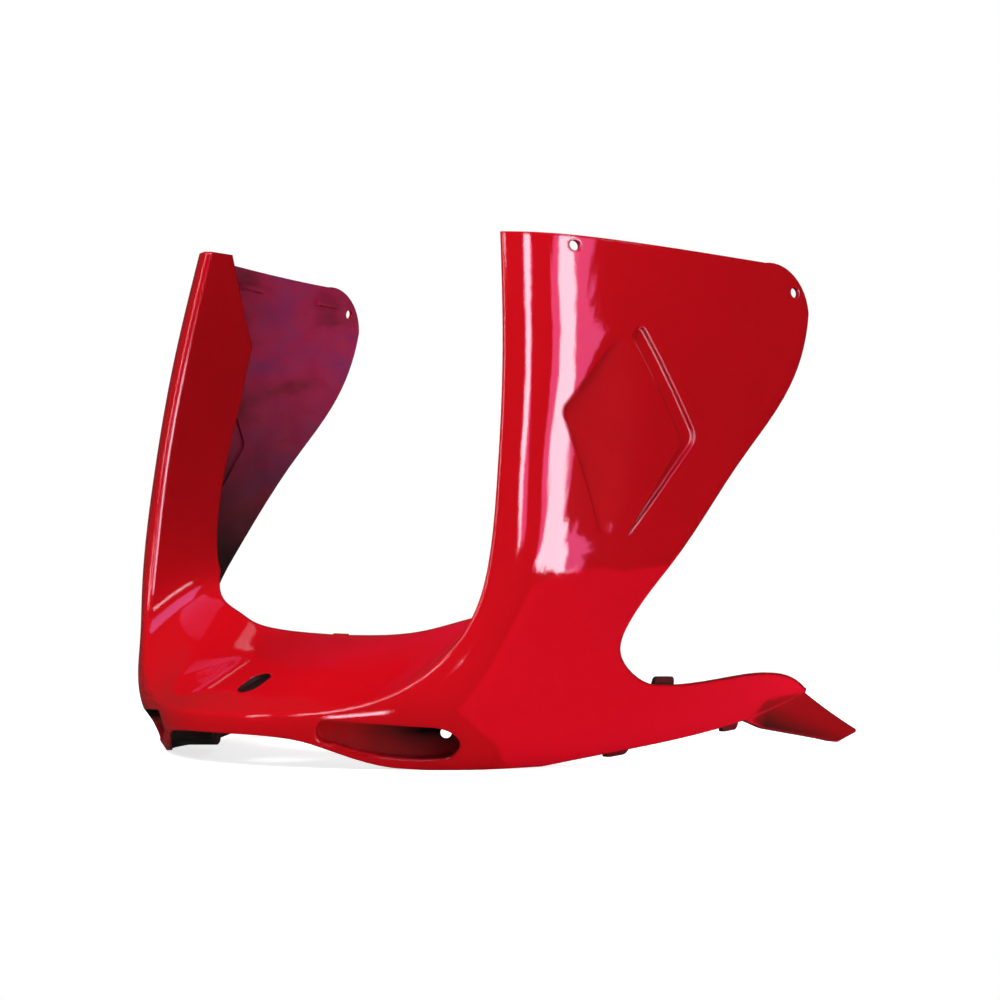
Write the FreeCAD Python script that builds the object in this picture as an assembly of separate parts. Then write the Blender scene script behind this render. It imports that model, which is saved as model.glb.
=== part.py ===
import FreeCAD, Part
import math
import os

# Front panel of a scooter: one thin moulding, made as a right half and mirrored.
# Millimetres. X is across the vehicle, Y runs from the front lip to the rear, Z is up.

Vec = FreeCAD.Vector

# Overall sizes
wall = 3.0
ridge_radius = 4.0
reach = 600.0
middle_y = 245.14
middle_overlap = 0.4
touch = 0.01
edge_marks = (0.2, 0.5, 0.8)

# Room of the right half, which the surfaces run past on every side
room_width = 300.0
room_front = -50.0
room_rear = 480.0
room_low = -20.0
room_top = 380.0

# Plan curves of the outer skin, one for each height.
# Every curve has its control points in the same order, from the middle of the front to the rear:
# middle, front, corner, shoulder, flank, rear flank, three for the tail.
skin_levels = (
    (-30.0, ((0, 42), (45, 42), (90, 74), (130, 101), (148, 145),
             (165, 210), (172, 290), (163, 390), (140, 490))),
    (0.0, ((0, 18), (45, 18), (100, 53), (148, 84), (163, 135),
           (178, 205), (180, 290), (165, 390), (140, 490))),
    (34.0, ((0, 5.5), (45, 5.5), (108, 41), (160, 69), (184, 125),
            (200, 200), (194, 290), (168, 390), (140, 490))),
    (74.0, ((0, 30), (55, 33), (120, 59), (176, 78), (196, 134),
            (207, 204), (206, 290), (190, 390), (165, 490))),
    (104.0, ((0, 52), (60, 57), (130, 73), (190, 90), (201, 138),
             (213, 203), (217, 293), (215, 390), (205, 490))),
    (187.0, ((0, 70), (60, 75), (132, 88), (194, 104), (206, 152),
             (217, 219), (224, 298), (227, 390), (228, 490))),
    (259.0, ((0, 80), (60, 87), (126, 100), (188, 115), (202, 163),
             (215, 235), (223, 312), (226, 395), (227, 490))),
    (342.0, ((0, 92), (55, 101), (112, 113), (168, 125), (188, 172),
             (205, 236), (217, 312), (222, 395), (224, 490))),
    (405.0, ((0, 101), (50, 110), (100, 123), (153, 134), (176, 180),
             (197, 241), (213, 312), (220, 395), (223, 490))),
)

# Cross sections of the bowl, one for each distance from the lip: height of the floor in the middle,
# of its side and of its corner with the wall. The walls have the same shape in every section.
bowl_rows = (
    (-60.0, -4.0, -42.0, -22.0),
    (20.0, 41.5, 28.0, 36.0),
    (66.0, 64.0, 54.0, 66.0),
    (120.0, 82.5, 91.0, 97.0),
    (150.0, 90.0, 103.0, 107.0),
    (210.0, 101.0, 126.0, 129.0),
)
floor_middle_x = 45.0
floor_side_x = 100.0
floor_corner_x = 157.0
wall_foot_x = 164.0
wall_foot_share = 0.45
wall_points = ((163, 187), (157.5, 259), (142, 342), (128, 405))

# Side view, as Y and Z: top edge, rear edge down into the notch, tail
top_edge = ((80, 345), (130, 342), (227, 333.5), (298, 327))
top_corner = (327, 315.5)
rear_edge = ((335, 294), (316, 248), (267, 196), (208, 131), (179, 96), (173, 75), (185, 60), (209, 52))
tail_top = ((209, 52), (255, 52), (327, 55), (393, 41.5))
tail_tip = (396, 39.8)
tail_bottom = ((392, 37.6), (340, 27), (247, 14.5), (140, 0.6))
keel_y = 100.0

# Free edge of the return strips in side view, and back edge of the bowl in plan
strip_edge = ((147, 96), (147, 132), (154, 187), (166, 238))
strip_corner = (172, 278)
strip_top = (142, 345)
bowl_edge = ((0, 114), (54, 114.5), (88, 116.5), (110, 123), (132, 129.5), (158, 147))
strip_clear_x = 180.0
strip_clear_top_x = 155.0
strip_clear_z = 64.0

# Lower edge of the lip in front view, as X and Z
arch = ((0, 21), (30, 20.8), (48, 20), (67, 17), (90, 7.5), (115, 0.8))
arch_end_x = 128.0

# Lamp pocket: outline seen along its own direction, as distance across and Z
pocket_turn = 45.0
pocket_top = ((77, 31.4), (143, 28))
pocket_end = (163, 16.5)
pocket_low = ((152, 7.4), (114, 8.2), (80, 16.2))
pocket_tip = (71, 25)
pocket_back = 6.0
pocket_front = 90.0
pocket_wall = 2.5
lamp_hole = (153.5, 21.6)
lamp_hole_radius = 3.6
drill_reach = 20.0

# Flat facet and arrow groove on the wing, as Y and Z
facet_tip = (128, 228)
facet_top = (166, 269)
facet_low = (149, 152)
facet_rear = (220, 209)
facet_depth = 1.2
facet_top_depth = 0.9
facet_tip_radius = 10.0
facet_room = 80.0
groove_points = ((183, 276), (191, 284), (229, 211), (168, 145), (217, 209))
groove_radii = (3.0, 4.0, 9.0, 0.25, 9.0)
groove_depth = 2.2
groove_margin = 2.0

# Screw holes in the wings, as Y and Z, and slot in the bowl
screw_radius = 3.5
front_screw = (152.5, 333.5)
rear_screw = (323, 308)
slot_y = 40.0
slot_z = 51.5
slot_length = 25.0
slot_width = 17.0
slot_slope = 28.0

# Joggled tongue behind the tail and small tabs, as Y and Z
tongue_points = ((318, 27), (396, 39), (483, 8))
tongue_tip = (485, 6.4)
tongue_bottom = ((483, 5), (455, 0), (347, 15.5), (318, 23))
tabs = (((188, 4), (206, 6), (204, 14), (190, 12)),
        ((294, 16), (312, 17), (312, 28), (296, 26)),
        ((206, 42), (228, 42), (225, 56.5), (209, 57)))
tab_radius = 3.0
ledges = (((196, 321.5), (222, 319), (222, 322), (196, 324.5)),
          ((285, 313.5), (309, 311), (309, 314), (285, 316.5)))
ledge_reach = 5.0
lap_gap = 0.6
middle_tab_width = 14.0
middle_tab_reach = 3.0


def spline_through(rows, heights):
    """Surface whose curves across have the rows as control points, and which runs through every row."""
    columns = list(zip(*rows))
    lines = []
    for column in columns:
        line = Part.BSplineCurve()
        line.interpolate(Points=list(column), Parameters=list(heights))
        lines.append(line)
    degree = 3
    spans = len(columns) - degree
    across_knots = [float(k) for k in range(spans + 1)]
    across_mults = [degree + 1] + [1] * (spans - 1) + [degree + 1]
    surface = Part.BSplineSurface()
    surface.buildFromPolesMultsKnots(
        [line.getPoles() for line in lines],
        across_mults, lines[0].getMultiplicities(),
        across_knots, lines[0].getKnots(),
        False, False, degree, lines[0].Degree)
    return surface


def mirrored_row(points):
    """Row of control points on both sides of the middle."""
    left = [Vec(-p.x, p.y, p.z) for p in reversed(points[1:])]
    return left + list(points)


def flat_knots(knots, mults):
    """Knots with each one repeated by its multiplicity."""
    return [k for k, m in zip(knots, mults) for _ in range(m)]


def pole_parameters(knots, mults, degree, count):
    """Parameter of the surface under each control point."""
    flat = flat_knots(knots, mults)
    return [sum(flat[i + 1:i + 1 + degree]) / degree for i in range(count)]


def offset_surface(surface, distance):
    """Copy of a surface, moved by a distance along its normals."""
    poles = surface.getPoles()
    us = pole_parameters(surface.getUKnots(), surface.getUMultiplicities(), surface.UDegree, len(poles))
    vs = pole_parameters(surface.getVKnots(), surface.getVMultiplicities(), surface.VDegree, len(poles[0]))
    moved = []
    for u, row in zip(us, poles):
        moved.append([p + surface.normal(u, v) * distance for v, p in zip(vs, row)])
    copy = Part.BSplineSurface()
    copy.buildFromPolesMultsKnots(
        moved, surface.getUMultiplicities(), surface.getVMultiplicities(),
        surface.getUKnots(), surface.getVKnots(),
        False, False, surface.UDegree, surface.VDegree)
    return copy


def half_face(surface):
    """Face of the right half, run on a little past the middle."""
    first, last, low, high = surface.bounds()
    middle = (first + last) / 2
    return surface.toShape(middle - middle_overlap, last, low, high)


def skin_surface():
    """Outer skin of both sides."""
    rows = []
    for z, points in skin_levels:
        rows.append(mirrored_row([Vec(x, y, z) for x, y in points]))
    return spline_through(rows, [z for z, points in skin_levels])


def bowl_surface():
    """Floor of the bowl and inner walls of both wings."""
    rows = []
    for y, middle, side, corner in bowl_rows:
        foot = corner + wall_foot_share * (wall_points[0][1] - corner)
        section = [(0, middle), (floor_middle_x, middle), (floor_side_x, side), (floor_corner_x, corner)]
        section.append((wall_foot_x, foot))
        section.extend(wall_points)
        rows.append(mirrored_row([Vec(x, y, z) for x, z in section]))
    return spline_through(rows, [row[0] for row in bowl_rows])


def side_points(points):
    """Points of a side view, given as Y and Z."""
    return [Vec(0, y, z) for y, z in points]


def curve(points):
    """Smooth edge through points."""
    line = Part.BSplineCurve()
    line.interpolate(Points=points)
    return line.toShape()


def first_point(edge):
    """Point where an edge starts."""
    return edge.valueAt(edge.FirstParameter)


def last_point(edge):
    """Point where an edge ends."""
    return edge.valueAt(edge.LastParameter)


def chain(*parts):
    """Closed wire of edges, joined in order by straight edges where they don't meet."""
    edges = [parts[0]]
    for part in parts[1:]:
        if last_point(edges[-1]).distanceToPoint(first_point(part)) > touch:
            edges.append(Part.makeLine(last_point(edges[-1]), first_point(part)))
        edges.append(part)
    edges.append(Part.makeLine(last_point(edges[-1]), first_point(edges[0])))
    return Part.Wire(edges)


def round_corner(before, corner, after, radius):
    """Arc that rounds the corner between two straight sides."""
    back = (before - corner).normalize()
    ahead = (after - corner).normalize()
    half_turn = back.getAngle(ahead) / 2
    set_back = radius / math.tan(half_turn)
    depth = radius / math.sin(half_turn) - radius
    middle = corner + (back + ahead).normalize() * depth
    return Part.Arc(corner + back * set_back, middle, corner + ahead * set_back).toShape()


def rounded_outline(points, radii):
    """Closed wire of straight sides in side view, with its corners rounded."""
    corners = side_points(points)
    after = corners[1:] + corners[:1]
    before = corners[-1:] + corners[:-1]
    return chain(*[round_corner(*corner) for corner in zip(before, corners, after, radii)])


def plate(wire, direction):
    """Solid made by pulling the area of a wire along a direction."""
    return Part.Face(wire).extrude(direction)


def side_prism(points):
    """Straight-sided solid with its outline in side view."""
    return plate(Part.makePolygon(side_points(points) + side_points(points[:1])), Vec(reach, 0, 0))


def hull(surface, distance):
    """Everything on the inner side of the skin, moved inward by a distance."""
    return half_face(offset_surface(surface, -distance)).extrude(Vec(-reach, reach, 0))


def sheet(block, surface, near, far):
    """Part of a block that lies between two distances below the skin."""
    return block.common(hull(surface, near)).cut(hull(surface, far))


def skin_point(face, y, z):
    """Point of the skin with a given place in side view."""
    line = Part.makeLine(Vec(0, y, z), Vec(reach, y, z))
    return line.distToShape(face)[1][0][0]


def edges_between(solid, first, second):
    """Edges of a solid that lie on two faces."""
    found = []
    for edge in solid.Edges:
        start, end = edge.ParameterRange
        marks = [Part.Vertex(edge.valueAt(start + (end - start) * share)) for share in edge_marks]
        if all(m.distToShape(first)[0] < touch and m.distToShape(second)[0] < touch for m in marks):
            found.append(edge)
    return found


def side_outline():
    """Solid whose side view is the outline of the wing, the notch and the tail."""
    top = curve(side_points(top_edge))
    corner = Part.Arc(*side_points((top_edge[-1], top_corner, rear_edge[0]))).toShape()
    rear = curve(side_points(rear_edge))
    tail = curve(side_points(tail_top))
    tip = Part.Arc(*side_points((tail_top[-1], tail_tip, tail_bottom[0]))).toShape()
    bottom = curve(side_points(tail_bottom))
    front = Part.makePolygon(side_points(((keel_y, 0), (-reach, 0), (-reach, top_edge[0][1])))).Edges
    return plate(chain(top, corner, rear, tail, tip, bottom, *front), Vec(reach, 0, 0))


def strip_clearance():
    """Room behind the free edge of the strip and the back edge of the bowl."""
    lower = curve(side_points(strip_edge))
    upper = Part.makePolygon(side_points((strip_edge[-1], strip_corner, strip_top, (strip_top[0], reach),
                                          (reach, reach), (reach, strip_edge[0][1])))).Edges
    behind = plate(chain(lower, *upper), Vec(reach, 0, 0))
    across = ((-reach, -reach), (strip_clear_x, -reach), (strip_clear_x, strip_corner[1]),
              (strip_clear_top_x, strip_top[1]), (strip_clear_top_x, reach), (-reach, reach))
    band = [Vec(x, 0, z) for x, z in across]
    behind = behind.common(plate(Part.makePolygon(band + band[:1]), Vec(0, reach, 0)))
    back = curve([Vec(x, y, strip_clear_z) for x, y in bowl_edge])
    around = (bowl_edge[-1], (strip_clear_x, bowl_edge[-1][1]), (strip_clear_x, reach),
              (-reach, reach), (-reach, bowl_edge[0][1]))
    rest = Part.makePolygon([Vec(x, y, strip_clear_z) for x, y in around]).Edges
    floor_room = plate(chain(back, *rest), Vec(0, 0, strip_edge[1][1] - strip_clear_z))
    tab_end = bowl_edge[0][1] + middle_tab_reach
    tab = Part.makeBox(middle_tab_width, 2 * tab_end, reach, Vec(-middle_tab_width / 2, -tab_end, 0))
    return behind.fuse(floor_room.cut(tab))


def arch_room():
    """Room below the lip, above the wheel."""
    edge = curve([Vec(x, -reach, z) for x, z in arch])
    rest = Part.makePolygon([Vec(arch[-1][0], -reach, arch[-1][1]), Vec(arch_end_x, -reach, 0),
                             Vec(arch_end_x, -reach, -reach), Vec(0, -reach, -reach)]).Edges
    return plate(chain(edge, *rest), Vec(0, 2 * reach, 0))


def pocket_frame(across, along, z):
    """Point at a distance across the view of the pocket, along it and up."""
    turn = math.radians(pocket_turn)
    sine = math.sin(turn)
    cosine = math.cos(turn)
    return Vec(across * cosine + along * sine, across * sine - along * cosine, z)


def pocket_solid(extra, back):
    """Block that fills the pocket, larger by a margin, from a depth out to the front."""
    start, top = [pocket_frame(across, back, z) for across, z in pocket_top]
    low, bend, rise = [pocket_frame(across, back, z) for across, z in pocket_low]
    end, tip = [pocket_frame(across, back, z) for across, z in (pocket_end, pocket_tip)]
    edges = [Part.makeLine(start, top)]
    edges.append(Part.Arc(top, end, low).toShape())
    edges.append(Part.Arc(low, bend, rise).toShape())
    edges.append(Part.Arc(rise, tip, start).toShape())
    wire = Part.Wire(edges)
    if extra:
        wire = wire.makeOffset2D(extra)
    return plate(wire, pocket_frame(0, pocket_front - back, 0))


def facet_corners(face, shift):
    """Corners of the facet, on a flat plane through three points a little below the skin."""
    tip = skin_point(face, *facet_tip) - Vec(facet_depth, 0, 0)
    top = skin_point(face, *facet_top) - Vec(facet_top_depth, 0, 0)
    low = skin_point(face, *facet_low) - Vec(facet_depth, 0, 0)
    normal = (top - tip).cross(low - tip)
    corners = []
    for y, z in (facet_low, facet_tip, facet_top, groove_points[0], facet_rear, groove_points[3]):
        x = tip.x - (normal.y * (y - tip.y) + normal.z * (z - tip.z)) / normal.x
        corners.append(Vec(x - shift, y, z))
    return corners


def facet_block(corners):
    """Room above the facet, which has a round tip."""
    low, tip, top = corners[:3]
    rest = Part.makePolygon(corners[2:] + corners[:1]).Edges
    outline = chain(round_corner(low, tip, top, facet_tip_radius), *rest)
    return plate(outline, Vec(facet_room, 0, 0))


def groove_block(surface, depth, margin):
    """Room of the arrow groove, down to a depth below the skin."""
    outline = rounded_outline(groove_points, groove_radii)
    if margin:
        outline = outline.makeOffset2D(margin)
    return plate(outline, Vec(reach, 0, 0)).cut(hull(surface, depth))


def shell_solid(surface, face):
    """Thin shell of the right half: skin, ridge and bowl, with the facet and the groove."""
    bowl = bowl_surface()
    bowl_face = half_face(bowl)
    rise = Vec(-reach, 0, reach)
    room_corner = Vec(0, room_front, room_low)
    room = Part.makeBox(room_width, room_rear - room_front, room_top - room_low, room_corner)
    body = hull(surface, 0).cut(bowl_face.extrude(rise)).common(room)
    body = body.makeFillet(ridge_radius, edges_between(body, face, bowl_face))
    core = hull(surface, wall).cut(half_face(offset_surface(bowl, -wall)).extrude(rise))
    body = body.cut(facet_block(facet_corners(face, 0))).cut(groove_block(surface, groove_depth, 0))
    core = core.cut(facet_block(facet_corners(face, wall)))
    return body.cut(core.cut(groove_block(surface, groove_depth + wall, groove_margin)))


def tongue_block():
    """Side view of the joggled tongue, as a solid."""
    top = Part.makePolygon(side_points(tongue_points)).Edges
    tip = Part.Arc(*side_points((tongue_points[-1], tongue_tip, tongue_bottom[0]))).toShape()
    bottom = Part.makePolygon(side_points(tongue_bottom)).Edges
    return plate(chain(*top, tip, *bottom), Vec(reach, 0, 0))


def inner_pieces(surface):
    """Tongue, tabs and ledges, all on the inner face of the skin."""
    pieces = [sheet(tongue_block(), surface, wall - lap_gap, 2 * wall)]
    for points in tabs:
        tab = plate(rounded_outline(points, [tab_radius] * len(points)), Vec(reach, 0, 0))
        pieces.append(sheet(tab, surface, wall - lap_gap, 2 * wall))
    for points in ledges:
        pieces.append(sheet(side_prism(points), surface, wall - lap_gap, wall + ledge_reach))
    return pieces


def screw_drills(surface, face):
    """Cylinders of the screw holes of one wing: parallel, and square to the line between them."""
    front = skin_point(face, *front_screw)
    rear = skin_point(face, *rear_screw)
    line = (rear - front).normalize()
    axis = surface.normal(*surface.parameter(front)) + surface.normal(*surface.parameter(rear))
    axis = (axis - line * axis.dot(line)).normalize()
    drills = []
    for centre in (front, rear):
        drills.append(Part.makeCylinder(screw_radius, 2 * drill_reach, centre - axis * drill_reach, axis))
    return drills


def lamp_drill():
    """Cylinder of the hole in the back of the lamp pocket."""
    start = pocket_frame(lamp_hole[0], pocket_back - drill_reach, lamp_hole[1])
    return Part.makeCylinder(lamp_hole_radius, 2 * drill_reach, start, pocket_frame(0, 1, 0))


def slot_block():
    """Right half of the slot in the bowl, with round ends."""
    end = (slot_length - slot_width) / 2
    side = slot_width / 2
    line = Part.makeLine(Vec(side, -end, 0), Vec(side, end, 0))
    far = Part.Arc(Vec(side, end, 0), Vec(0, end + side, 0), Vec(-side, end, 0)).toShape()
    back = Part.makeLine(Vec(-side, end, 0), Vec(-side, -end, 0))
    near = Part.Arc(Vec(-side, -end, 0), Vec(0, -end - side, 0), Vec(side, -end, 0)).toShape()
    block = plate(Part.Wire([line, far, back, near]), Vec(0, 0, 2 * drill_reach))
    block.translate(Vec(0, 0, -drill_reach))
    block.rotate(Vec(0, 0, 0), Vec(1, 0, 0), slot_slope)
    block.translate(Vec(0, slot_y, slot_z))
    return block


def half_panel():
    """Right half of the panel."""
    surface = skin_surface()
    face = half_face(surface)
    outline = side_outline()
    half = shell_solid(surface, face).cut(strip_clearance()).common(outline).cut(arch_room())
    half = half.fuse(inner_pieces(surface))
    plug = pocket_solid(pocket_wall, pocket_back - pocket_wall).common(hull(surface, 0))
    half = half.fuse(plug).cut(pocket_solid(0, pocket_back))
    return half.cut(screw_drills(surface, face) + [lamp_drill(), slot_block()])


half = half_panel()
panel = half.fuse(half.mirror(Vec(0, 0, 0), Vec(1, 0, 0))).Solids[0]
panel.translate(Vec(0, -middle_y, 0))
os.makedirs("parts", exist_ok=True)
panel.exportStep("parts/front_panel.step")
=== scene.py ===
"""Scooter front panel: a glossy red moulding on a plain white floor."""
import math

import bpy
import numpy as np
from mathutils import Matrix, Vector
from mathutils.kdtree import KDTree


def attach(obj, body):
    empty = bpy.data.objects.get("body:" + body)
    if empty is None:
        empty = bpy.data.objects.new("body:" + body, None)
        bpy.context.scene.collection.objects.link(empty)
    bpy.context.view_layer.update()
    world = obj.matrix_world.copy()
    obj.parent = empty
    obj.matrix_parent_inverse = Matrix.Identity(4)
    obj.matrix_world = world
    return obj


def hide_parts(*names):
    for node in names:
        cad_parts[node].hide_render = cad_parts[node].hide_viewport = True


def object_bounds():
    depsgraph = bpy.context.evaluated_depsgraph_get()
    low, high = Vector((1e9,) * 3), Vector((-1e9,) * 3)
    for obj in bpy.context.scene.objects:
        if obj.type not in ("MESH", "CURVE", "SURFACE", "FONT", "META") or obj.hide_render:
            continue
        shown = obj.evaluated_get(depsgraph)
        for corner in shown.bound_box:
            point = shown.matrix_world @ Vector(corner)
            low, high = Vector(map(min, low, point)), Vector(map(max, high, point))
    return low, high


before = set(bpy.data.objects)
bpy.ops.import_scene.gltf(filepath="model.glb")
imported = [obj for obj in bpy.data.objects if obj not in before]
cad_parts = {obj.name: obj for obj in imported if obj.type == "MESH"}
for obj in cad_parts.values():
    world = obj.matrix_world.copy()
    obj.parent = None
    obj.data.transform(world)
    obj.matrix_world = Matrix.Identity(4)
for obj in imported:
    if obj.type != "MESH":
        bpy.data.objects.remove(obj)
cad_low, cad_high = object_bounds()
cad_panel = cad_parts["front_panel"]

# Camera, in metres and degrees: it looks at the panel from its front left corner, almost level
camera_turn = 45.0
camera_rise = 0.23
camera_distance = 2.568
camera_target = Vector((0.0, 0.0209, 0.1701))
focal_pixels = 3700.0
image_pixels = 1000.0
sensor_width = 36.0
clip_distance = 100.0

# Driving shapes of the panel, in millimetres, with Y counted from a point in front of the lip.
per_metre = 1000.0
lip_y = 245.14
# Plan curves of the outer skin, one for each height, from the middle of the front to the tail
skin_levels = (
    (-30.0, ((0, 42), (45, 42), (90, 74), (130, 101), (148, 145),
             (165, 210), (172, 290), (163, 390), (140, 490))),
    (0.0, ((0, 18), (45, 18), (100, 53), (148, 84), (163, 135),
           (178, 205), (180, 290), (165, 390), (140, 490))),
    (34.0, ((0, 5.5), (45, 5.5), (108, 41), (160, 69), (184, 125),
            (200, 200), (194, 290), (168, 390), (140, 490))),
    (74.0, ((0, 30), (55, 33), (120, 59), (176, 78), (196, 134),
            (207, 204), (206, 290), (190, 390), (165, 490))),
    (104.0, ((0, 52), (60, 57), (130, 73), (190, 90), (201, 138),
             (213, 203), (217, 293), (215, 390), (205, 490))),
    (187.0, ((0, 70), (60, 75), (132, 88), (194, 104), (206, 152),
             (217, 219), (224, 298), (227, 390), (228, 490))),
    (259.0, ((0, 80), (60, 87), (126, 100), (188, 115), (202, 163),
             (215, 235), (223, 312), (226, 395), (227, 490))),
    (342.0, ((0, 92), (55, 101), (112, 113), (168, 125), (188, 172),
             (205, 236), (217, 312), (222, 395), (224, 490))),
    (405.0, ((0, 101), (50, 110), (100, 123), (153, 134), (176, 180),
             (197, 241), (213, 312), (220, 395), (223, 490))),
)
# Cross sections of the bowl: distance from the lip, and heights at the middle, the side and the corner
bowl_rows = (
    (-60.0, -4.0, -42.0, -22.0),
    (20.0, 41.5, 28.0, 36.0),
    (66.0, 64.0, 54.0, 66.0),
    (120.0, 82.5, 91.0, 97.0),
    (150.0, 90.0, 103.0, 107.0),
    (210.0, 101.0, 126.0, 129.0),
)
bowl_sides = (0.0, 45.0, 100.0, 157.0, 164.0)
wall_foot_share = 0.45
wall_points = ((163, 187), (157.5, 259), (142, 342), (128, 405))
ridge_radius = 4.0

# Lamp pocket, in millimetres: distance across its own view, along it, and up
pocket_turn = 45.0
pocket_across = (65.0, 164.0)
pocket_along = (5.5, 95.0)
pocket_up = (5.5, 33.0)
pocket_centre = (112.0, 40.0, 18.0)
# Its outer end, from a circle in the solid to a flatter quarter of an ellipse: centres, sizes and angles
pocket_end_circle = (151.35, 19.38, 12.0)
pocket_end_angles = (-13.9, 134.1)
pocket_end_oval = (143.0, 16.5, 20.0, 11.5)
pocket_end_slack = 0.2
pocket_rim_start = 1.0

# Smooth copy of the solid: splines, closest points, normals and finer triangles
tiny = 1e-12
degree = 3
slope_step = 1e-3
closest_rounds = 6
grid_counts = (81, 161)
sheet_spread = 0.8
sheet_agreement = 0.9
exact_weight = 20.0
ridge_reach = 1.1
ridge_slack = 0.1
ridge_corners = 300
weld_step = 1e-6
joint_angle = 28.0
largest_bulge = 0.06
refine_passes = 1

# Bare faces, in millimetres: those deeper than the wall, and the walls of the slot
wall_depth = 2.4
slot_low = (-9.5, 25.0, 38.0)
slot_high = (9.5, 55.0, 62.0)
# Tabs without paint: lowest and highest distance back and height
tab_boxes = (((187, 3), (207, 15)), ((293, 15), (313, 29)), ((205, 41), (229, 58)))

# Material slots of the panel
paint_slot, inner_slot, pocket_slot = range(3)

# Colours, as linear values
white = (1.0, 1.0, 1.0, 1.0)
paint_red = (0.60, 0.003, 0.009, 1.0)
paint_deep = (0.54, 0.003, 0.008, 1.0)
inner_purple = (0.46, 0.012, 0.085, 1.0)
inner_blue_sheen = (0.28, 0.022, 0.130, 1.0)
inner_dark = (0.18, 0.008, 0.024, 1.0)
painted_shade_black = (0.030, 0.010, 0.008, 1.0)
pocket_black_and_shade = (0.010, 0.004, 0.003, 1.0)
# Painted light: the pocket's red is brighter than the panel's paint
pocket_lit_red = (0.80, 0.005, 0.012, 1.0)
floor_white = (0.80, 0.80, 0.80, 1.0)

# Studio, in metres: each soft lamp has a turn and a rise as seen from the panel, a distance, a width,
# a height and a strength. Soft lamps light the colours, and bright cards only show in the gloss.
soft_lamps = {
    "key": (5.0, 56.0, 2.2, 1.6, 1.6, 60.0),
    "right": (100.0, 4.0, 2.2, 0.9, 0.9, 14.0),
    "back": (225.0, 12.0, 2.2, 1.6, 1.6, 20.0),
}
# Each card has a turn, a rise, a distance, a width, a height, edges, and where it isn't card_faint the
# colour beside its bright middle. Edges are rows of height, left edge, left and right edge of the bright
# middle, and right edge, as shares of the card's size.
card_bright = (0.80, 0.84, 1.0, 1.0)
card_faint = (0.38, 0.07, 0.20, 1.0)
card_half = (0.45, 0.42, 0.50, 1.0)
card_dim = (0.15, 0.06, 0.17, 1.0)
card_red = (0.17, 0.0, 0.006, 1.0)
card_level = 14.0
card_ragged = 0.08
card_grain = 14.0
card_detail = (8.0, 0.7)
card_soft = (-0.01, 0.02)
side_edges = (
    (0.05, 0.80, 0.81, 0.82, 0.87), (0.09, 0.66, 0.68, 0.73, 0.87), (0.156, 0.465, 0.48, 0.71, 0.86),
    (0.22, 0.29, 0.31, 0.68, 0.84), (0.26, 0.16, 0.18, 0.66, 0.78), (0.32, 0.10, 0.14, 0.64, 0.66),
    (0.37, 0.16, 0.24, 0.58, 0.60), (0.50, 0.17, 0.29, 0.55, 0.60), (0.58, 0.13, 0.25, 0.56, 0.64),
    (0.68, 0.17, 0.33, 0.56, 0.76), (0.80, 0.21, 0.35, 0.56, 0.68), (0.97, 0.24, 0.37, 0.55, 0.63),
)
front_edges = (
    (0.20, 0.54, 0.56, 0.66, 0.80), (0.26, 0.50, 0.52, 0.64, 0.84), (0.33, 0.47, 0.49, 0.62, 0.84),
    (0.42, 0.49, 0.51, 0.66, 0.80), (0.52, 0.46, 0.48, 0.66, 0.72), (0.66, 0.40, 0.43, 0.60, 0.64),
    (0.80, 0.41, 0.44, 0.62, 0.66), (0.97, 0.56, 0.59, 0.80, 0.86),
)
plain_edges = ((0.0, 0.06, 0.08, 0.92, 0.94), (1.0, 0.06, 0.08, 0.92, 0.94))
faint_edges = ((0.0, 0.06, 0.98, 0.99, 0.94), (1.0, 0.06, 0.98, 0.99, 0.94))
left_edges = ((0.14, 0.06, 0.08, 0.92, 0.94), (0.94, 0.06, 0.08, 0.92, 0.94))
floor_edges = (
    (0.0, 0.06, 0.98, 0.99, 0.94), (0.575, 0.06, 0.98, 0.99, 0.94), (0.60, 0.06, 0.98, 0.99, 0.745),
    (0.70, 0.06, 0.98, 0.99, 0.70), (0.78, 0.06, 0.98, 0.99, 0.64), (0.86, 0.06, 0.98, 0.99, 0.54),
    (1.0, 0.06, 0.98, 0.99, 0.54),
)
gloss_cards = {
    "side_card": (84.0, 13.0, 1.7, 2.6, 1.6, side_edges),
    "front_card": (19.0, 20.0, 1.7, 1.0, 1.0, front_edges),
    "left_card": (-32.7, 18.7, 0.84, 0.08, 0.42, left_edges),
    "ridge_card": (-8.0, 34.0, 1.7, 0.24, 0.40, plain_edges),
    "back_card": (118.0, 47.0, 1.7, 0.42, 0.14, faint_edges, card_half),
    "top_card": (120.0, 77.0, 1.7, 0.7, 0.7, faint_edges, card_dim),
    "low_card": (8.0, -11.5, 1.7, 0.14, 0.12, plain_edges),
    "floor_card": (118.0, -35.5, 1.71, 7.0, 1.75, floor_edges, card_red),
}
lamp_target = Vector((0.12, -0.06, 0.18))
world_light = 0.12
world_gloss = 0.03
floor_size = 6.0
floor_glow = 0.75
floor_near = 0.55
floor_far = 1.10
floor_roughness = 0.9

# Finish, in metres: noise is counted in waves to the metre before any stretch, and roughness runs between
# two values
noise_range = (0.3, 0.7)
bump_depth = 0.0004
edge_round = 0.0028
edge_samples = 6
paint_cloud = 7.0
paint_cloud_stops = (0.35, 0.65)
paint_haze = 45.0
paint_roughness = (0.30, 0.46)
paint_peel = 420.0
paint_peel_strength = 0.03
coat_roughness = 0.045
coat_index = 1.6
inner_stretch = (5.0, 5.0, 14.0)
inner_turn = (0.6, 0.0, 0.0)
inner_streaks = 2.2
inner_streak_detail = (6.0, 0.62)
inner_streak_stops = (0.32, 0.50, 0.68)
inner_haze = 60.0
inner_roughness = (0.34, 0.58)
inner_grain = 700.0
inner_grain_strength = 0.12
inner_shine = 0.35
pocket_dust = 90.0
pocket_dust_cover = (0.7, 1.3)
pocket_paint_stop = 0.9
pocket_roughness = (0.4, 0.6)
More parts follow.
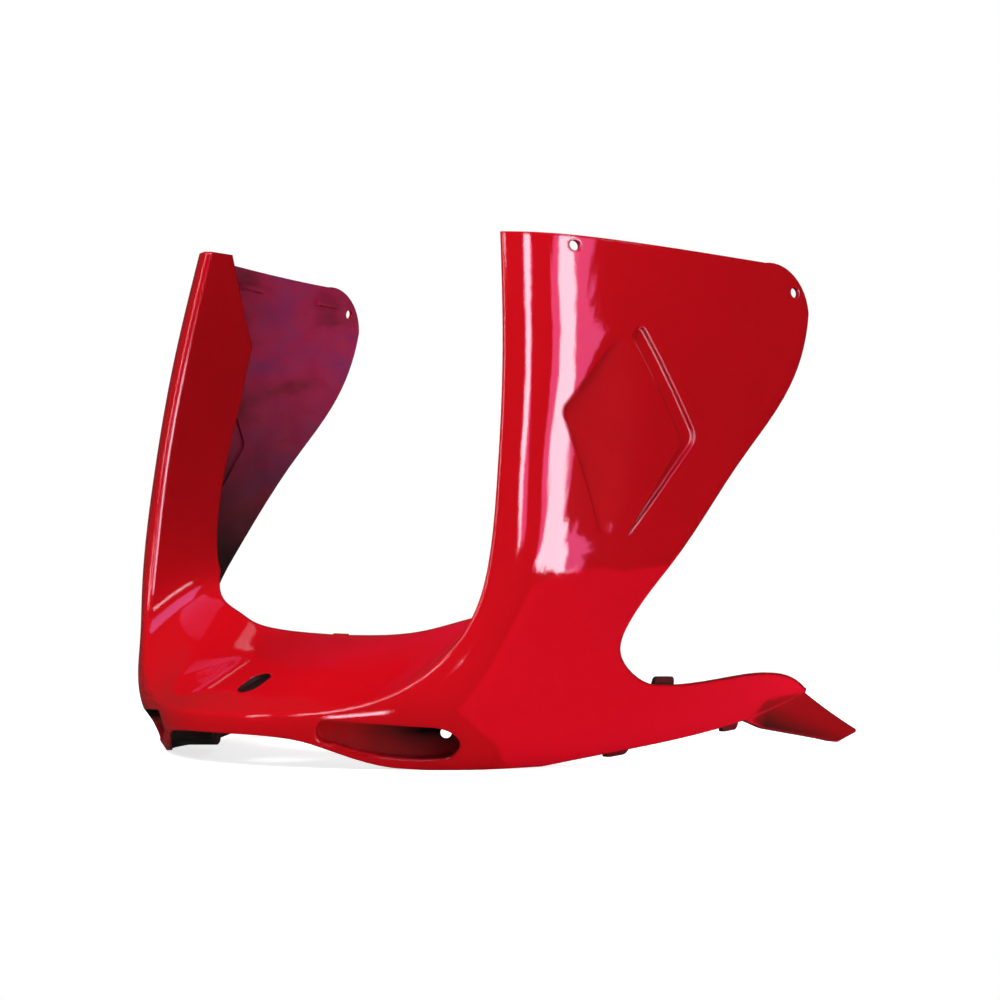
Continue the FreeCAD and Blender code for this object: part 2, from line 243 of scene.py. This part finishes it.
pocket_shine = 0.2
# Heights and places where painted shade turns the pocket and the inner side dark, in metres
pocket_shade_fade = (-0.140, -0.050)
pocket_shade_rise = (0.008, 0.022)
inner_shade_rise = (0.13, 0.27)
# Painted shade turns the tongue dark below a sloping line behind a place along the tail
tongue_slope = 0.27
tongue_shade_fade = (0.044, 0.064)
tongue_start = (0.085, 0.105)


def read_mesh(obj):
    """Corners and triangles of an object, as arrays."""
    mesh = obj.data
    mesh.calc_loop_triangles()
    points = np.empty(len(mesh.vertices) * 3, np.float32)
    mesh.vertices.foreach_get("co", points)
    triangles = np.empty(len(mesh.loop_triangles) * 3, np.int32)
    mesh.loop_triangles.foreach_get("vertices", triangles)
    return points.reshape(-1, 3).astype(float), triangles.reshape(-1, 3)


def unit(vectors):
    """Vectors of length one."""
    return vectors / np.maximum(np.linalg.norm(vectors, axis=-1, keepdims=True), tiny)


def flat_normals(points, triangles):
    """Normals of the corners, as the mean of the triangles around each one."""
    a, b, c = (points[triangles[:, k]] for k in range(3))
    across = np.cross(b - a, c - a)
    normals = np.zeros_like(points)
    for k in range(3):
        np.add.at(normals, triangles[:, k], across)
    return unit(normals)


def islands(count, triangles):
    """Number of the separate face that each corner belongs to."""
    number = np.arange(count)
    while True:
        lowest = number[triangles].min(axis=1)
        before = number.copy()
        for k in range(3):
            np.minimum.at(number, triangles[:, k], lowest)
        number = number[number]
        if (number == before).all():
            return number


def mirrored(points):
    """Row of control points on both sides of the middle."""
    points = np.array(points, float)
    return np.concatenate([points[:0:-1] * (-1, 1, 1), points])


def spline_sheet(marks, rows):
    """Smooth sheet through rows of control points: its marks, rows and slopes at the marks."""
    marks, rows = np.array(marks), np.array(rows)
    step = np.diff(marks)
    count = len(marks)
    system = np.zeros((count, count))
    right = np.zeros((count,) + rows.shape[1:])
    for i in range(1, count - 1):
        a, b = 1.0 / step[i - 1], 1.0 / step[i]
        system[i, i - 1:i + 2] = a, 2.0 * (a + b), b
        right[i] = 3.0 * ((rows[i] - rows[i - 1]) * a * a + (rows[i + 1] - rows[i]) * b * b)
    for end, near, far in ((0, 1, 2), (-1, -2, -3)):
        system[end, end] = 1.0
        p, q = marks[near] - marks[end], marks[far] - marks[end]
        right[end] = ((rows[near] - rows[end]) * q / p - (rows[far] - rows[end]) * p / q) / (q - p)
    slopes = np.linalg.solve(system, right.reshape(count, -1)).reshape(right.shape)
    return marks, rows, slopes


def skin_sheet():
    """Outer skin, by height."""
    rows = [mirrored([(x, y, z) for x, y in points]) for z, points in skin_levels]
    return spline_sheet([z for z, _ in skin_levels], rows)


def bowl_sheet():
    """Floor of the bowl and inner walls of the wings, by distance from the lip."""
    rows = []
    for y, middle, side, corner in bowl_rows:
        foot = corner + wall_foot_share * (wall_points[0][1] - corner)
        section = list(zip(bowl_sides, (middle, middle, side, corner, foot))) + list(wall_points)
        rows.append(mirrored([(x, y, z) for x, z in section]))
    return spline_sheet([row[0] for row in bowl_rows], rows)


def shares(u, count):
    """Share of each control point of a row in the points at u."""
    knots = np.concatenate([np.zeros(degree), np.arange(count - degree + 1), np.full(degree, count - degree)])
    u = np.clip(u, 0.0, count - degree - 1e-9)[:, None]
    found = ((knots[:-1] <= u) & (u < knots[1:])).astype(float)
    for d in range(1, degree + 1):
        left = knots[d:-1] - knots[:-d - 1]
        right = knots[d + 1:] - knots[1:-d]
        rising = np.where(left > 0, (u - knots[:-d - 1]) / np.maximum(left, 1e-9), 0.0)
        falling = np.where(right > 0, (knots[d + 1:] - u) / np.maximum(right, 1e-9), 0.0)
        found = found[:, :-1] * rising + found[:, 1:] * falling
    return found


def sheet_points(sheet, u, v):
    """Points of a sheet."""
    marks, rows, slopes = sheet
    k = np.clip(np.searchsorted(marks, v, side="right") - 1, 0, len(marks) - 2)
    step = (marks[k + 1] - marks[k])[:, None, None]
    t = ((v - marks[k]) / (marks[k + 1] - marks[k]))[:, None, None]
    columns = rows[k] * (1 + 2 * t) * (1 - t) ** 2 + rows[k + 1] * t * t * (3 - 2 * t)
    columns += step * (slopes[k] * t * (1 - t) ** 2 + slopes[k + 1] * t * t * (t - 1))
    return np.einsum("nk,nkc->nc", shares(u, rows.shape[1]), columns)


def closest_on(sheet, points):
    """Distance of points in front of a sheet, and the sheet's normals there."""
    marks, rows, _ = sheet
    last = rows.shape[1] - degree
    count_u, count_v = grid_counts
    grid_u, grid_v = np.meshgrid(np.linspace(last / 2, last, count_u),
                                 np.linspace(marks[0], marks[-1], count_v))
    grid_u, grid_v = grid_u.ravel(), grid_v.ravel()
    tree = KDTree(len(grid_u))
    for i, place in enumerate(sheet_points(sheet, grid_u, grid_v)):
        tree.insert(place, i)
    tree.balance()
    first = [tree.find(point)[1] for point in points]
    u, v = grid_u[first], grid_v[first]
    for _ in range(closest_rounds):
        here = sheet_points(sheet, u, v)
        along_u = sheet_points(sheet, u + slope_step, v) - sheet_points(sheet, u - slope_step, v)
        along_v = sheet_points(sheet, u, v + slope_step) - sheet_points(sheet, u, v - slope_step)
        along_u = along_u / slope_step / 2
        along_v = along_v / slope_step / 2
        off = points - here
        uu, vv = np.sum(along_u ** 2, axis=1), np.sum(along_v ** 2, axis=1)
        uv = np.sum(along_u * along_v, axis=1)
        ou, ov = np.sum(along_u * off, axis=1), np.sum(along_v * off, axis=1)
        area = uu * vv - uv * uv
        u = np.clip(u + (ou * vv - ov * uv) / area, last / 2, last - 2 * slope_step)
        v = np.clip(v + (ov * uu - ou * uv) / area, marks[0] + slope_step, marks[-1] - slope_step)
    normals = unit(np.cross(along_u, along_v))
    return np.sum((points - sheet_points(sheet, u, v)) * normals, axis=1), normals


def smooth_normals(points, triangles):
    """Normals of the corners, how much each one can be trusted, and whether it is on the bare inner side.

    Faces that run along the skin or the bowl take their normals from those sheets, and the rounded ridge
    between them turns from one to the other.
    """
    normals = flat_normals(points, triangles)
    trust = np.ones(len(points))
    side = np.where(points[:, :1] < 0.0, -1.0, 1.0)
    turn = np.concatenate([side, np.ones_like(side), np.ones_like(side)], axis=1)
    places = points * per_metre * turn + (0.0, lip_y, 0.0)
    skin, skin_normals = closest_on(skin_sheet(), places)
    bowl, bowl_normals = closest_on(bowl_sheet(), places)
    bare = np.zeros(len(points), bool)
    in_slot = ((places > slot_low) & (places < slot_high)).all(axis=1)
    in_tabs = [((places[:, 1:] > low) & (places[:, 1:] < high)).all(axis=1) for low, high in tab_boxes]
    number = islands(len(points), triangles)
    for face in np.unique(number):
        own = np.flatnonzero(number == face)
        for depth, sheet_normals in ((skin, skin_normals), (bowl, bowl_normals)):
            exact = sheet_normals[own] * turn[own]
            agree = np.sum(exact * normals[own], axis=1)
            if np.ptp(depth[own]) < sheet_spread and abs(np.median(agree)) > sheet_agreement:
                fit = agree * np.sign(np.median(agree)) > sheet_agreement
                normals[own[fit]] = exact[fit] * np.sign(np.median(agree))
                trust[own[fit]] = exact_weight
                bare[own] = np.median(agree) < 0.0
                break
        else:
            bare[own] = in_slot[own].all() or np.median(np.maximum(skin[own], bowl[own])) < -wall_depth
            low = np.minimum(skin[own], bowl[own]).min()
            high = np.maximum(skin[own], bowl[own]).max()
            if low > -ridge_reach * ridge_radius and high < ridge_slack and len(own) > ridge_corners:
                a = np.arccos(np.clip(1.0 + skin[own] / ridge_radius, -1.0, 1.0))[:, None]
                b = np.arccos(np.clip(1.0 + bowl[own] / ridge_radius, -1.0, 1.0))[:, None]
                blend = unit(skin_normals[own] * np.sin(b) + bowl_normals[own] * np.sin(a)) * turn[own]
                normals[own] = blend
                trust[own] = exact_weight
                bare[own] = False
        if any(inside[own].all() for inside in in_tabs):
            bare[own] = True
    return normals, trust, bare


def welded(points):
    """Corners with the repeated ones joined, and the new number of each old corner."""
    keys = np.round(points / weld_step).astype(np.int64)
    _, first, number = np.unique(keys, axis=0, return_index=True, return_inverse=True)
    return points[first], number.reshape(-1)


def joined_normals(normals, trust, number):
    """Normals made equal where faces run into each other smoothly."""
    order = np.argsort(number, kind="stable")
    groups = np.split(order, np.flatnonzero(np.diff(number[order])) + 1)
    limit = math.cos(math.radians(joint_angle))
    joined = normals.copy()
    for group in groups:
        if len(group) > 1:
            own = normals[group]
            alike = ((own @ own.T) > limit) * trust[group]
            joined[group] = unit(alike @ own)
    return joined


def refined(points, triangles, corner_normals):
    """Each triangle cut in four, with the new corners raised onto the curved face."""
    ends = np.concatenate([triangles[:, [0, 1]], triangles[:, [1, 2]], triangles[:, [2, 0]]])
    first = np.concatenate([corner_normals[:, 0], corner_normals[:, 1], corner_normals[:, 2]])
    second = np.concatenate([corner_normals[:, 1], corner_normals[:, 2], corner_normals[:, 0]])
    swap = ends[:, 0] > ends[:, 1]
    low = np.where(swap[:, None], second, first)
    high = np.where(swap[:, None], first, second)
    edges, number = np.unique(np.sort(ends, axis=1), axis=0, return_inverse=True)
    number = number.reshape(-1)
    share = np.bincount(number).astype(float)[:, None]
    low_mean = np.zeros((len(edges), 3))
    high_mean = np.zeros((len(edges), 3))
    np.add.at(low_mean, number, low)
    np.add.at(high_mean, number, high)
    low_mean /= share
    high_mean /= share
    limit = math.cos(math.radians(joint_angle / 2))
    smooth = (np.linalg.norm(low_mean, axis=1) > limit) & (np.linalg.norm(high_mean, axis=1) > limit)
    low_mean = unit(low_mean)
    high_mean = unit(high_mean)
    run = points[edges[:, 1]] - points[edges[:, 0]]
    rise = high_mean * np.sum(run * high_mean, axis=1)[:, None]
    rise = (rise - low_mean * np.sum(run * low_mean, axis=1)[:, None]) / 8.0
    cap = largest_bulge * np.linalg.norm(run, axis=1)[:, None]
    rise *= np.minimum(1.0, cap / np.maximum(np.linalg.norm(rise, axis=1)[:, None], tiny))
    middle = (points[edges[:, 0]] + points[edges[:, 1]]) / 2 + rise * smooth[:, None]
    way = points[ends[:, 1]] - points[ends[:, 0]]
    both = first + second
    lean = 2.0 * np.sum(way * both, axis=1) / np.maximum(np.sum(way * way, axis=1), 1e-18)
    middle_normals = unit(both - lean[:, None] * way)
    count = len(triangles)
    m = (number + len(points)).reshape(3, count)
    n = middle_normals.reshape(3, count, 3)
    t, c = triangles, corner_normals
    parts = (
        ((t[:, 0], m[0], m[2]), (c[:, 0], n[0], n[2])),
        ((m[0], t[:, 1], m[1]), (n[0], c[:, 1], n[1])),
        ((m[2], m[1], t[:, 2]), (n[2], n[1], c[:, 2])),
        ((m[0], m[1], m[2]), (n[0], n[1], n[2])),
    )
    new_triangles = np.concatenate([np.stack(corners, axis=1) for corners, _ in parts])
    new_normals = np.concatenate([np.stack(normals, axis=1) for _, normals in parts])
    return np.concatenate([points, middle]), new_triangles, new_normals


def pocket_frame(places):
    """Axes of the lamp pocket, and the signs that turn the right side to the left one."""
    turn = math.radians(pocket_turn)
    across = (math.cos(turn), math.sin(turn), 0.0)
    along = (math.sin(turn), -math.cos(turn), 0.0)
    axes = np.array([across, along, (0.0, 0.0, 1.0)])
    side = np.where(places[:, 0] < 0.0, -1.0, 1.0)
    return axes, np.stack([side, np.ones_like(side), np.ones_like(side)], axis=1)


def flatten_pocket_end(points):
    """Points with the round end of each pocket pressed to its true outline."""
    places = points * per_metre + (0.0, lip_y, 0.0)
    axes, mirror = pocket_frame(places)
    place = (places * mirror) @ axes.T
    across, up, radius = pocket_end_circle
    angle = np.degrees(np.arctan2(place[:, 2] - up, place[:, 0] - across))
    off = np.hypot(place[:, 2] - up, place[:, 0] - across) - radius
    own = (np.abs(off) < pocket_end_slack) & (place[:, 1] > pocket_along[0]) & (place[:, 1] < pocket_along[1])
    own &= (angle > pocket_end_angles[0]) & (angle < pocket_end_angles[1])
    share = (angle[own] - pocket_end_angles[0]) / (pocket_end_angles[1] - pocket_end_angles[0])
    across, up, wide, high = pocket_end_oval
    place[own, 0] = across + wide * np.cos(share * math.pi / 2)
    place[own, 2] = up + high * np.sin(share * math.pi / 2)
    rim = np.flatnonzero(own)[place[own, 1] > pocket_along[0] + pocket_rim_start]
    for _ in range(closest_rounds):
        depth, normals = closest_on(skin_sheet(), place[rim] @ axes)
        place[rim, 1] -= depth / (normals @ axes[1])
    points = points.copy()
    points[own] = ((place[own] @ axes) * mirror[own] - (0.0, lip_y, 0.0)) / per_metre
    return points


def pocket_triangles(points, triangles, corner_normals):
    """Triangles on the walls of the two lamp pockets."""
    middle = points[triangles].mean(axis=1) * per_metre + (0.0, lip_y, 0.0)
    normal = corner_normals.mean(axis=1)
    axes, mirror = pocket_frame(middle)
    place = (middle * mirror) @ axes.T
    facing = (normal * mirror) @ axes.T
    inside = np.ones(len(place), bool)
    for k, (low, high) in enumerate((pocket_across, pocket_along, pocket_up)):
        inside &= (place[:, k] > low) & (place[:, k] < high)
    return inside & (np.sum((np.array(pocket_centre) - place) * facing, axis=1) > 0.0)


def build_panel():
    """Finely divided copy of the panel, with smooth normals and its bare faces marked."""
    points, triangles = read_mesh(cad_panel)
    points = flatten_pocket_end(points)
    normals, trust, bare = smooth_normals(points, triangles)
    bare = bare[triangles].sum(axis=1) > 1
    joined, number = welded(points)
    corner_normals = joined_normals(normals, trust, number)[triangles]
    triangles = number[triangles]
    whole = (triangles != np.roll(triangles, 1, axis=1)).all(axis=1)
    triangles, corner_normals, bare = triangles[whole], corner_normals[whole], bare[whole]
    for _ in range(refine_passes):
        joined, triangles, corner_normals = refined(joined, triangles, corner_normals)
        bare = np.tile(bare, len(triangles) // len(bare))
    joined = np.clip(joined, np.array(cad_low), np.array(cad_high))
    mesh = bpy.data.meshes.new("panel")
    mesh.from_pydata(joined.tolist(), [], triangles.tolist())
    finish = np.where(bare, inner_slot, paint_slot).astype(np.int32)
    finish[pocket_triangles(joined, triangles, corner_normals)] = pocket_slot
    mesh.polygons.foreach_set("material_index", finish)
    mesh.polygons.foreach_set("use_smooth", np.ones(len(triangles), bool))
    mesh.normals_split_custom_set(corner_normals.reshape(-1, 3).tolist())
    mesh.update()
    panel = bpy.data.objects.new("panel", mesh)
    bpy.context.scene.collection.objects.link(panel)
    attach(panel, "root")
    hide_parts("front_panel")
    return panel


class Nodes:
    """Node tree of a material, a lamp or the world, with short ways to add and link nodes."""

    def __init__(self, owner):
        owner.use_nodes = True
        self.tree = owner.node_tree

    def get(self, name):
        return self.tree.nodes[name]

    def add(self, kind, **values):
        node = self.tree.nodes.new(kind)
        for key, value in values.items():
            if key in node.inputs:
                node.inputs[key].default_value = value
            else:
                setattr(node, key, value)
        return node

    def noise(self, vector, scale, detail=3.0, roughness=0.5):
        node = self.add("ShaderNodeTexNoise", Scale=scale, Detail=detail, Roughness=roughness)
        self.tree.links.new(vector, node.inputs["Vector"])
        return node

    def ramp(self, source, *stops):
        node = self.add("ShaderNodeValToRGB")
        elements = node.color_ramp.elements
        while len(elements) < len(stops):
            elements.new(0.5)
        for element, (position, color) in zip(elements, stops):
            element.position = position
            element.color = color
        self.tree.links.new(source, node.inputs["Fac"])
        return node.outputs["Color"]

    def between(self, source, low, high, start=0.0, end=1.0):
        node = self.add("ShaderNodeMapRange")
        node.inputs["From Min"].default_value = start
        node.inputs["From Max"].default_value = end
        node.inputs["To Min"].default_value = low
        node.inputs["To Max"].default_value = high
        self.tree.links.new(source, node.inputs["Value"])
        return node.outputs["Result"]

    def mix(self, share, first, second):
        node = self.add("ShaderNodeMix", data_type="RGBA")
        self.tree.links.new(share, node.inputs["Factor"])
        for entry, value in ((node.inputs[6], first), (node.inputs[7], second)):
            if isinstance(value, tuple):
                entry.default_value = value
            else:
                self.tree.links.new(value, entry)
        return node.outputs[2]

    def math(self, kind, first, second):
        node = self.add("ShaderNodeMath", operation=kind)
        for entry, value in zip(node.inputs, (first, second)):
            if isinstance(value, (int, float)):
                entry.default_value = value
            else:
                self.tree.links.new(value, entry)
        return node.outputs["Value"]

    def link(self, source, node, entry):
        self.tree.links.new(source, node.inputs[entry])


def new_material(name):
    """Material, its nodes and its shader."""
    material = bpy.data.materials.new(name)
    nodes = Nodes(material)
    return material, nodes, nodes.get("Principled BSDF")


def paint_material():
    """Glossy red paint, with slow changes of depth, a faint orange peel, softened edges and a painted shade
    that darkens the foot of the tongue.
    """
    material, nodes, shader = new_material("red_paint")
    place = nodes.add("ShaderNodeTexCoord").outputs["Object"]
    cloud = nodes.noise(place, paint_cloud)
    split = nodes.add("ShaderNodeSeparateXYZ")
    nodes.link(place, split, "Vector")
    # Painted shade: the tongue turns black below a sloping line, where it curves under
    line = nodes.math("ADD", split.outputs["Z"], nodes.math("MULTIPLY", split.outputs["Y"], tongue_slope))
    tongue_shade = nodes.between(line, 1.0, 0.0, *tongue_shade_fade)
    tongue_shade = nodes.math("MULTIPLY", tongue_shade, nodes.between(split.outputs["Y"], 0.0, 1.0, *tongue_start))
    colour = nodes.ramp(cloud.outputs["Fac"], *zip(paint_cloud_stops, (paint_deep, paint_red)))
    nodes.link(nodes.mix(tongue_shade, colour, painted_shade_black), shader, "Base Color")
    haze = nodes.noise(place, paint_haze, 4.0)
    nodes.link(nodes.between(haze.outputs["Fac"], *paint_roughness, *noise_range), shader, "Roughness")
    edge = nodes.add("ShaderNodeBevel", samples=edge_samples, Radius=edge_round)
    peel = nodes.noise(place, paint_peel, 2.0)
    bump = nodes.add("ShaderNodeBump", Strength=paint_peel_strength, Distance=bump_depth)
    nodes.link(peel.outputs["Fac"], bump, "Height")
    nodes.link(edge.outputs["Normal"], bump, "Normal")
    nodes.link(bump.outputs["Normal"], shader, "Normal")
    nodes.link(bump.outputs["Normal"], shader, "Coat Normal")
    shader.inputs["Specular IOR Level"].default_value = 0.0
    shader.inputs["Coat Weight"].default_value = 1.0
    shader.inputs["Coat Roughness"].default_value = coat_roughness
    shader.inputs["Coat IOR"].default_value = coat_index
    return material


def inner_material():
    """Bare inner side: dark plastic with purple overspray in streaks, a painted blue sheen among them, and
    painted shade that turns it black lower down.
    """
    material, nodes, shader = new_material("inner_plastic")
    place = nodes.add("ShaderNodeTexCoord").outputs["Object"]
    stretch = nodes.add("ShaderNodeMapping", Scale=inner_stretch, Rotation=inner_turn)
    nodes.link(place, stretch, "Vector")
    # The streaks mix overspray tones with a blue that is a painted sheen
    streak = nodes.noise(stretch.outputs["Vector"], inner_streaks, *inner_streak_detail)
    stops = zip(inner_streak_stops, (inner_dark, inner_purple, inner_blue_sheen))
    colour = nodes.ramp(streak.outputs["Fac"], *stops)
    split = nodes.add("ShaderNodeSeparateXYZ")
    nodes.link(place, split, "Vector")
    # Painted shade: the inner side turns black lower down
    colour_share = nodes.between(split.outputs["Z"], 0.0, 1.0, *inner_shade_rise)
    nodes.link(nodes.mix(colour_share, painted_shade_black, colour), shader, "Base Color")
    haze = nodes.noise(place, inner_haze, 4.0)
    nodes.link(nodes.between(haze.outputs["Fac"], *inner_roughness, *noise_range), shader, "Roughness")
    grain = nodes.noise(place, inner_grain, 2.0)
    bump = nodes.add("ShaderNodeBump", Strength=inner_grain_strength, Distance=bump_depth)
    nodes.link(grain.outputs["Fac"], bump, "Height")
    nodes.link(bump.outputs["Normal"], shader, "Normal")
    shader.inputs["Specular IOR Level"].default_value = inner_shine
    return material


def pocket_material():
    """Walls of the lamp pockets: paint at the mouth that fades to bare black plastic, with painted shade
    deeper in and higher up, and the red made brighter than the panel's paint as painted light.
    """
    material, nodes, shader = new_material("pocket_plastic")
    place = nodes.add("ShaderNodeTexCoord").outputs["Object"]
    split = nodes.add("ShaderNodeSeparateXYZ")
    nodes.link(place, split, "Vector")
    out = nodes.math("ABSOLUTE", split.outputs["X"], 0.0)
    across = nodes.math("ADD", out, split.outputs["Y"])
    # Painted shade: darker deeper in the pocket and higher up its walls
    shade = nodes.between(across, 0.0, 1.0, *pocket_shade_fade)
    rise = nodes.between(split.outputs["Z"], 0.0, 1.0, *pocket_shade_rise)
    colour_share = nodes.math("SUBTRACT", 1.0, nodes.math("MULTIPLY", shade, rise))
    dust = nodes.noise(place, pocket_dust, 4.0)
    colour_share = nodes.math("MULTIPLY", colour_share, nodes.between(dust.outputs["Fac"], *pocket_dust_cover))
    nodes.link(nodes.ramp(colour_share, (0.0, pocket_black_and_shade), (pocket_paint_stop, pocket_lit_red)), shader, "Base Color")
    nodes.link(nodes.between(dust.outputs["Fac"], *pocket_roughness), shader, "Roughness")
    shader.inputs["Specular IOR Level"].default_value = pocket_shine
    return material


def direction(turn, rise):
    """Direction from the panel, with turn 0 in front of it and 90 on its left."""
    a, e = math.radians(turn), math.radians(rise)
    return Vector((math.sin(a) * math.cos(e), -math.cos(a) * math.cos(e), math.sin(e)))


def add_lamp(name, turn, rise, distance, width, height, strength):
    """Rectangular lamp that faces the panel."""
    data = bpy.data.lights.new(name, "AREA")
    data.shape = "RECTANGLE"
    data.size = width
    data.size_y = height
    data.energy = strength
    lamp = bpy.data.objects.new(name, data)
    away = direction(turn, rise)
    lamp.location = lamp_target + away * distance
    lamp.rotation_mode = "QUATERNION"
    lamp.rotation_quaternion = away.to_track_quat("Z", "Y")
    lamp.visible_camera = False
    bpy.context.scene.collection.objects.link(lamp)
    return lamp


def add_card(name, turn, rise, distance, width, height, edges, faint=card_faint):
    """Bright card with ragged edges: white in its middle and faint at its sides."""
    card = add_lamp(name, turn, rise, distance, width, height, card_level * math.pi * width * height)
    nodes = Nodes(card.data)
    place = nodes.add("ShaderNodeNewGeometry").outputs["Parametric"]
    split = nodes.add("ShaderNodeSeparateXYZ")
    nodes.link(place, split, "Vector")
    fray = nodes.noise(place, card_grain, *card_detail).outputs["Fac"]
    fray = nodes.between(fray, -card_ragged, card_ragged)
    across = nodes.math("ADD", split.outputs["X"], fray)
    up = nodes.math("ADD", split.outputs["Y"], fray)
    left, bright_left, bright_right, right = [
        nodes.ramp(up, *[(row[0], (row[k], row[k], row[k], 1.0)) for row in edges]) for k in range(1, 5)]
    past_left = nodes.math("GREATER_THAN", across, left)
    inside = nodes.math("MULTIPLY", past_left, nodes.math("LESS_THAN", across, right))
    for limit, kind in ((edges[0][0], "GREATER_THAN"), (edges[-1][0], "LESS_THAN")):
        inside = nodes.math("MULTIPLY", inside, nodes.math(kind, up, limit))
    depths = (nodes.math("SUBTRACT", across, bright_left), nodes.math("SUBTRACT", bright_right, across))
    soft = [nodes.between(depth, 0.0, 1.0, *card_soft) for depth in depths]
    colour = nodes.mix(nodes.math("MULTIPLY", *soft), faint, card_bright)
    nodes.link(colour, nodes.get("Emission"), "Color")
    nodes.link(inside, nodes.get("Emission"), "Strength")
    card.visible_diffuse = False


def add_lamps():
    """Soft lamps for the colours, and cards for the gloss."""
    for name, values in soft_lamps.items():
        add_lamp(name, *values).visible_glossy = False
    for name, values in gloss_cards.items():
        add_card(name, *values)


def add_world():
    """White to the camera and to rays let through, and dimmer in the gloss and as light."""
    world = bpy.data.worlds.new("studio")
    bpy.context.scene.world = world
    nodes = Nodes(world)
    back = nodes.get("Background")
    path = nodes.add("ShaderNodeLightPath").outputs
    level = nodes.between(path["Is Glossy Ray"], world_light, world_gloss)
    seen = nodes.math("MAXIMUM", path["Is Camera Ray"], path["Is Transmission Ray"])
    nodes.link(nodes.math("MAXIMUM", level, seen), back, "Strength")
    back.inputs["Color"].default_value = white


def add_floor():
    """Pale floor with the panel's shadow, which fades into the white background."""
    half = floor_size / 2
    corners = [(-half, -half, 0.0), (half, -half, 0.0), (half, half, 0.0), (-half, half, 0.0)]
    mesh = bpy.data.meshes.new("floor")
    mesh.from_pydata(corners, [], [(0, 1, 2, 3)])
    floor = bpy.data.objects.new("floor", mesh)
    bpy.context.scene.collection.objects.link(floor)
    material, nodes, shader = new_material("floor")
    shader.inputs["Base Color"].default_value = floor_white
    shader.inputs["Roughness"].default_value = floor_roughness
    shader.inputs["Specular IOR Level"].default_value = 0.0
    shader.inputs["Emission Color"].default_value = white
    path = nodes.add("ShaderNodeLightPath").outputs
    nodes.link(nodes.math("MULTIPLY", path["Is Camera Ray"], floor_glow), shader, "Emission Strength")
    place = nodes.add("ShaderNodeTexCoord").outputs["Object"]
    away = nodes.add("ShaderNodeVectorMath", operation="LENGTH")
    nodes.link(place, away, "Vector")
    fade = nodes.between(away.outputs["Value"], 0.0, 1.0, floor_near, floor_far)
    fade = nodes.math("MAXIMUM", fade, path["Is Glossy Ray"])
    clear = nodes.add("ShaderNodeBsdfTransparent")
    mix = nodes.add("ShaderNodeMixShader")
    nodes.link(fade, mix, "Fac")
    nodes.tree.links.new(shader.outputs["BSDF"], mix.inputs[1])
    nodes.tree.links.new(clear.outputs["BSDF"], mix.inputs[2])
    nodes.tree.links.new(mix.outputs["Shader"], nodes.get("Material Output").inputs["Surface"])
    mesh.materials.append(material)


def add_camera():
    """Camera at the photograph's place."""
    data = bpy.data.cameras.new("camera")
    data.sensor_width = sensor_width
    data.lens = focal_pixels / image_pixels * sensor_width
    data.clip_end = clip_distance
    camera = bpy.data.objects.new("camera", data)
    away = direction(camera_turn, camera_rise)
    camera.location = camera_target + away * camera_distance
    camera.rotation_mode = "QUATERNION"
    camera.rotation_quaternion = away.to_track_quat("Z", "Y")
    bpy.context.scene.collection.objects.link(camera)
    bpy.context.scene.camera = camera


panel = build_panel()
for material in (paint_material(), inner_material(), pocket_material()):
    panel.data.materials.append(material)
add_lamps()
add_world()
add_floor()
add_camera()
bpy.context.scene.view_settings.view_transform = "Standard"
